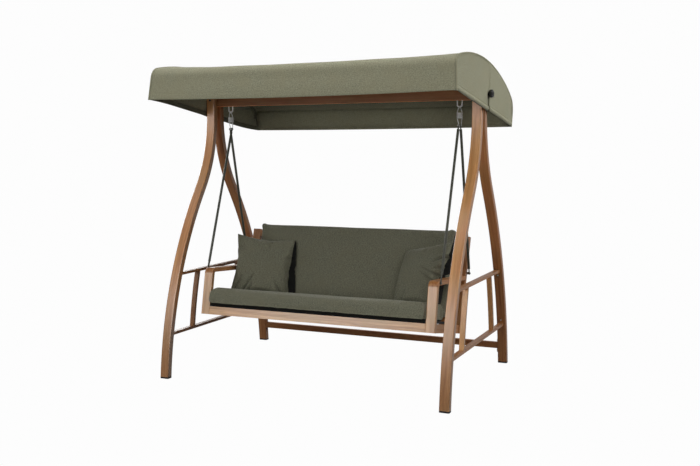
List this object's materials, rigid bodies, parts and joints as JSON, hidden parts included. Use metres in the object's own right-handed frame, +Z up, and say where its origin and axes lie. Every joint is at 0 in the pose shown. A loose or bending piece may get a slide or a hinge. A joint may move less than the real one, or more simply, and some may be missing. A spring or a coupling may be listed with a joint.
{
  "type": "canopy swing bench",
  "caption": "Garden swing bench: a cushioned seat with arms hangs on rods and springs between curved legs, under a tilting arched cloth canopy.",
  "frame": {"origin": "on the floor, midway between the four feet", "axes": "+X along the bench towards the viewer's right when it is seen from the front, +Y to the rear, +Z up"},
  "size_m": [1.9744, 1.2821, 1.9488],
  "materials": {
    "wood_print_tube": "wood-grain print on metal tube, satin",
    "black_plastic": "moulded, matt",
    "dark_steel": "blackened bolts",
    "zinc_steel": "zinc-plated, satin",
    "rod_paint": "dark olive-grey powder coat",
    "canopy_frame": "dark powder coat",
    "canopy_cloth": "heathered woven polyester",
    "cushion_cloth": "fine plain-weave cover"
  },
  "bodies": {
    "stand": {"leg_front_left": "wood_print_tube", "leg_front_right": "wood_print_tube", "leg_rear_left": "wood_print_tube", "leg_rear_right": "wood_print_tube", "foot_caps": "black_plastic", "top_beam": "wood_print_tube", "side_rail_upper_left": "wood_print_tube", "side_rail_upper_right": "wood_print_tube", "side_rail_lower_left": "wood_print_tube", "side_rail_lower_right": "wood_print_tube", "side_slats_left": "wood_print_tube", "side_slats_right": "wood_print_tube", "rear_crossbar": "wood_print_tube", "top_bolts": "dark_steel", "crossbar_bolts": "dark_steel", "rail_screws": "zinc_steel", "ubolt_left": "zinc_steel", "ubolt_right": "zinc_steel", "ubolt_nuts": "zinc_steel", "pivot_stud_left": "zinc_steel", "pivot_stud_right": "zinc_steel"},
    "hanger_left": {"hook_upper_left": "zinc_steel", "spring_left": "zinc_steel"},
    "hanger_right": {"hook_upper_right": "zinc_steel", "spring_right": "zinc_steel"},
    "link_left": {"hook_lower_left": "zinc_steel"},
    "link_right": {"hook_lower_right": "zinc_steel"},
    "seat": {"rod_front_left": "rod_paint", "rod_front_right": "rod_paint", "rod_rear_left": "rod_paint", "rod_rear_right": "rod_paint", "rod_bolts_left": "rod_paint", "rod_bolts_right": "rod_paint", "arm_post_left": "wood_print_tube", "arm_post_right": "wood_print_tube", "armrest_left": "wood_print_tube", "armrest_right": "wood_print_tube", "back_post_left": "wood_print_tube", "back_post_right": "wood_print_tube", "seat_side_rail_left": "wood_print_tube", "seat_side_rail_right": "wood_print_tube", "seat_front_rail": "wood_print_tube", "seat_rear_rail": "wood_print_tube", "back_top_rail": "wood_print_tube", "seat_slats": "wood_print_tube", "back_slats": "wood_print_tube", "seat_cushion": "cushion_cloth", "back_cushion": "cushion_cloth", "pillow_left": "cushion_cloth", "pillow_right": "cushion_cloth"},
    "canopy": {"canopy_rib_left": "canopy_frame", "canopy_rib_right": "canopy_frame", "canopy_front_rail": "canopy_frame", "canopy_rear_rail": "canopy_frame", "canopy_cover": "canopy_cloth", "canopy_end_left": "canopy_cloth", "canopy_end_right": "canopy_cloth"},
    "knob_left": {"tilt_knob_left": "black_plastic"},
    "knob_right": {"tilt_knob_right": "black_plastic"}
  },
  "joints": [
    {"name": "swing_left", "type": "hinge", "parent": "stand", "child": "hanger_left", "pos_m": [-0.793, 0, 1.672], "axis": [1, 0, 0], "range_deg": [-16, 16]},
    {"name": "swing_right", "type": "hinge", "parent": "stand", "child": "hanger_right", "pos_m": [0.793, 0, 1.672], "axis": [1, 0, 0], "range_deg": [-16, 16]},
    {"name": "stretch_left", "type": "slide", "parent": "hanger_left", "child": "link_left", "axis": [0, 0, -1], "range_m": [0, 0.015], "stiffness_N_per_m": 60000, "springref_m": -0.02, "deforming": ["spring_left"]},
    {"name": "stretch_right", "type": "slide", "parent": "hanger_right", "child": "link_right", "axis": [0, 0, -1], "range_m": [0, 0.015], "deforming": ["spring_right"]},
    {"name": "seat_pitch", "type": "hinge", "parent": "link_left", "child": "seat", "pos_m": [-0.793, 0, 1.56], "axis": [1, 0, 0], "range_deg": [-8, 8]},
    {"name": "canopy_tilt", "type": "hinge", "parent": "stand", "child": "canopy", "pos_m": [0, 0, 1.742], "axis": [1, 0, 0], "range_deg": [-10, 24]},
    {"name": "knob_turn_left", "type": "hinge", "parent": "stand", "child": "knob_left", "pos_m": [-0.97, 0, 1.742], "axis": [1, 0, 0], "continuous": true},
    {"name": "knob_turn_right", "type": "hinge", "parent": "stand", "child": "knob_right", "pos_m": [0.97, 0, 1.742], "axis": [1, 0, 0], "continuous": true}
  ],
  "couplings": [
    {"joint": "swing_right", "follows": "swing_left", "ratio": 1},
    {"joint": "stretch_right", "follows": "stretch_left", "ratio": 1}
  ]
}
